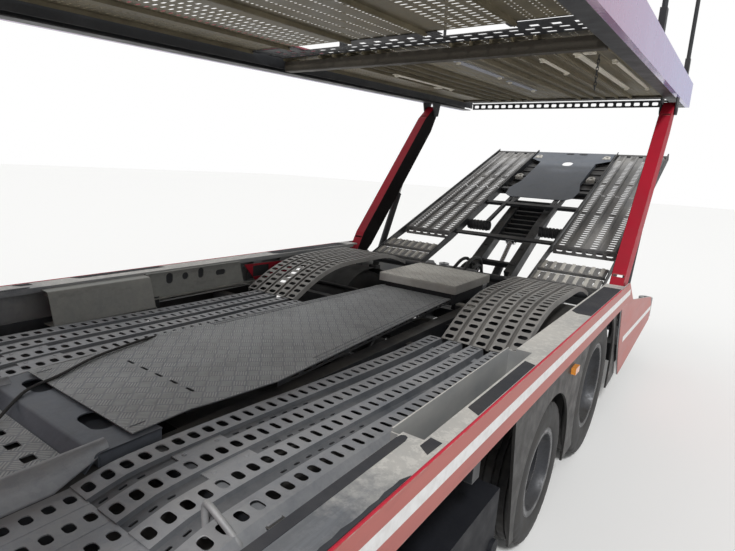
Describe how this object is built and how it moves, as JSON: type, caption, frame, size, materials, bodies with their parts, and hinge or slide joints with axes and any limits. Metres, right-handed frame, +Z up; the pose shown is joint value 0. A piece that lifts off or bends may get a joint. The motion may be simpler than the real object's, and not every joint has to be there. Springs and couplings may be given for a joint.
{
  "type": "car transporter truck",
  "caption": "Rigid car carrier with a cab, open lower deck, hinged rear ramp and an upper deck lifted on swinging arms.",
  "frame": {"origin": "on the ground, in the middle of the overall length and width", "axes": "+Z up, -Y forwards, +X to the truck's left side"},
  "size_m": [2.91, 10.7997, 3.7148],
  "materials": {
    "black_steel": "satin",
    "engine_iron": "rough",
    "red_paint": "gloss",
    "cab_red": "gloss",
    "arm_red": "satin",
    "galvanised": "rough",
    "dark_galvanised": "rough",
    "black_plastic": "satin",
    "interior": "matte",
    "tank_metal": "brushed",
    "tyre_rubber": "matte",
    "rim_steel": "satin",
    "rod_chrome": "polished",
    "glass": "clear",
    "lamp_plastic": "clear",
    "plate_blue_grey": "satin"
  },
  "bodies": {
    "chassis": {"chassis_frame": "black_steel", "engine": "engine_iron", "side_rails": "red_paint", "rear_side_panels": "red_paint", "wheel_skirts": "black_plastic", "lower_tracks": "galvanised", "track_humps": "dark_galvanised", "deck_covers": "galvanised", "walkway": "galvanised", "tail_frame": "black_steel", "corner_rollers": "galvanised", "fuel_tanks": "tank_metal", "battery_box": "black_plastic", "axles": "black_steel", "cab_shell": "cab_red", "windscreen": "glass", "grille": "black_plastic", "front_bumper": "black_plastic", "lamps": "lamp_plastic", "cab_interior": "interior", "mast": "black_steel"},
    "rear_arms": {"rear_arms": "arm_red"},
    "front_arms": {"front_arms": "arm_red"},
    "upper_deck": {"deck_frame": "black_steel", "deck_planks": "dark_galvanised", "deck_side_panels": "red_paint", "stanchions": "galvanised"},
    "deck_barrels": {"deck_cylinder_barrels": "black_steel"},
    "deck_rods": {"deck_cylinder_rods": "rod_chrome"},
    "head_deck": {"head_deck": "galvanised"},
    "ramp": {"ramp_frame": "dark_galvanised", "ramp_plate": "plate_blue_grey"},
    "boom": {"lift_boom": "black_steel"},
    "ramp_barrel": {"ramp_cylinder_barrel": "black_steel"},
    "ramp_rod": {"ramp_cylinder_rod": "rod_chrome"},
    "knuckle_left": {"knuckle_left": "black_steel"},
    "wheel_front_left": {"tyre_front_left": "tyre_rubber", "rim_front_left": "rim_steel"},
    "wheel_pusher_left": {"tyre_pusher_left": "tyre_rubber", "rim_pusher_left": "rim_steel"},
    "wheel_drive_left": {"tyre_drive_left": "tyre_rubber", "rim_drive_left": "rim_steel"},
    "door_left": {"door_left": "cab_red", "door_glass_left": "glass"},
    "knuckle_right": {"knuckle_right": "black_steel"},
    "wheel_front_right": {"tyre_front_right": "tyre_rubber", "rim_front_right": "rim_steel"},
    "wheel_pusher_right": {"tyre_pusher_right": "tyre_rubber", "rim_pusher_right": "rim_steel"},
    "wheel_drive_right": {"tyre_drive_right": "tyre_rubber", "rim_drive_right": "rim_steel"},
    "door_right": {"door_right": "cab_red", "door_glass_right": "glass"}
  },
  "joints": [
    {"name": "deck_lift", "type": "hinge", "parent": "chassis", "child": "rear_arms", "pos_m": [0, 2.1, 0.93], "axis": [1, 0, 0], "range_deg": [-10, 10]},
    {"name": "front_arms_lift", "type": "hinge", "parent": "chassis", "child": "front_arms", "pos_m": [0, -2.94593, 0.72733], "axis": [1, 0, 0], "range_deg": [-10, 10]},
    {"name": "deck_level", "type": "hinge", "parent": "rear_arms", "child": "upper_deck", "pos_m": [0, 3.44246, 2.45273], "axis": [1, 0, 0], "range_deg": [-10, 10]},
    {"name": "deck_barrels_swing", "type": "hinge", "parent": "chassis", "child": "deck_barrels", "pos_m": [0, 2.47, 0.75], "axis": [1, 0, 0], "range_deg": [-10.48, 10.48]},
    {"name": "deck_rods_slide", "type": "slide", "parent": "deck_barrels", "child": "deck_rods", "axis": [0, 0.4293, 0.9031], "range_m": [-0.0726, 0.0726]},
    {"name": "head_deck_tilt", "type": "hinge", "parent": "chassis", "child": "head_deck", "pos_m": [0, -3.32, 2.7], "axis": [1, 0, 0], "range_deg": [-8, 1.5]},
    {"name": "ramp_tilt", "type": "hinge", "parent": "chassis", "child": "ramp", "pos_m": [0, 2.15, 0.93], "axis": [1, 0, 0], "range_deg": [-21, 4]},
    {"name": "boom_lift", "type": "hinge", "parent": "chassis", "child": "boom", "pos_m": [0, 2.4, 0.72], "axis": [1, 0, 0], "range_deg": [-23.62, 4.58]},
    {"name": "ramp_barrel_swing", "type": "hinge", "parent": "chassis", "child": "ramp_barrel", "pos_m": [0, 2.5, 0.5], "axis": [1, 0, 0], "range_deg": [-22.77, 4.5]},
    {"name": "ramp_rod_slide", "type": "slide", "parent": "ramp_barrel", "child": "ramp_rod", "axis": [0, 0.7308, 0.6826], "range_m": [-0.0974, 0.0194]},
    {"name": "steer_left", "type": "hinge", "parent": "chassis", "child": "knuckle_left", "pos_m": [0.93, -4, 0.463], "axis": [0, 0, 1], "range_deg": [-40, 40]},
    {"name": "wheel_front_left_spin", "type": "hinge", "parent": "knuckle_left", "child": "wheel_front_left", "pos_m": [1.05, -4, 0.463], "axis": [1, 0, 0], "continuous": true},
    {"name": "wheel_pusher_left_spin", "type": "hinge", "parent": "chassis", "child": "wheel_pusher_left", "pos_m": [1, 0.42, 0.358], "axis": [1, 0, 0], "continuous": true},
    {"name": "wheel_drive_left_spin", "type": "hinge", "parent": "chassis", "child": "wheel_drive_left", "pos_m": [0.93, 1.51, 0.463], "axis": [1, 0, 0], "continuous": true},
    {"name": "door_left_hinge", "type": "hinge", "parent": "chassis", "child": "door_left", "pos_m": [1.233, -5.14, 1.35], "axis": [0, 0, 1], "range_deg": [-70, 0]},
    {"name": "steer_right", "type": "hinge", "parent": "chassis", "child": "knuckle_right", "pos_m": [-0.93, -4, 0.463], "axis": [0, 0, 1], "range_deg": [-40, 40]},
    {"name": "wheel_front_right_spin", "type": "hinge", "parent": "knuckle_right", "child": "wheel_front_right", "pos_m": [-1.05, -4, 0.463], "axis": [1, 0, 0], "continuous": true},
    {"name": "wheel_pusher_right_spin", "type": "hinge", "parent": "chassis", "child": "wheel_pusher_right", "pos_m": [-1, 0.42, 0.358], "axis": [1, 0, 0], "continuous": true},
    {"name": "wheel_drive_right_spin", "type": "hinge", "parent": "chassis", "child": "wheel_drive_right", "pos_m": [-0.93, 1.51, 0.463], "axis": [1, 0, 0], "continuous": true},
    {"name": "door_right_hinge", "type": "hinge", "parent": "chassis", "child": "door_right", "pos_m": [-1.233, -5.14, 1.35], "axis": [0, 0, 1], "range_deg": [0, 70]}
  ],
  "couplings": [
    {"joint": "front_arms_lift", "follows": "deck_lift", "ratio": 1},
    {"joint": "deck_level", "follows": "deck_lift", "ratio": -1},
    {"joint": "deck_barrels_swing", "follows": "deck_lift", "ratio": 0.9982},
    {"joint": "deck_rods_slide", "follows": "deck_lift", "m_per_rad": 0.41008},
    {"joint": "boom_lift", "follows": "ramp_tilt", "ratio": 1.12},
    {"joint": "ramp_barrel_swing", "follows": "ramp_tilt", "ratio": 1.0747},
    {"joint": "ramp_rod_slide", "follows": "ramp_tilt", "m_per_rad": 0.26311},
    {"joint": "steer_right", "follows": "steer_left", "ratio": 1}
  ]
}
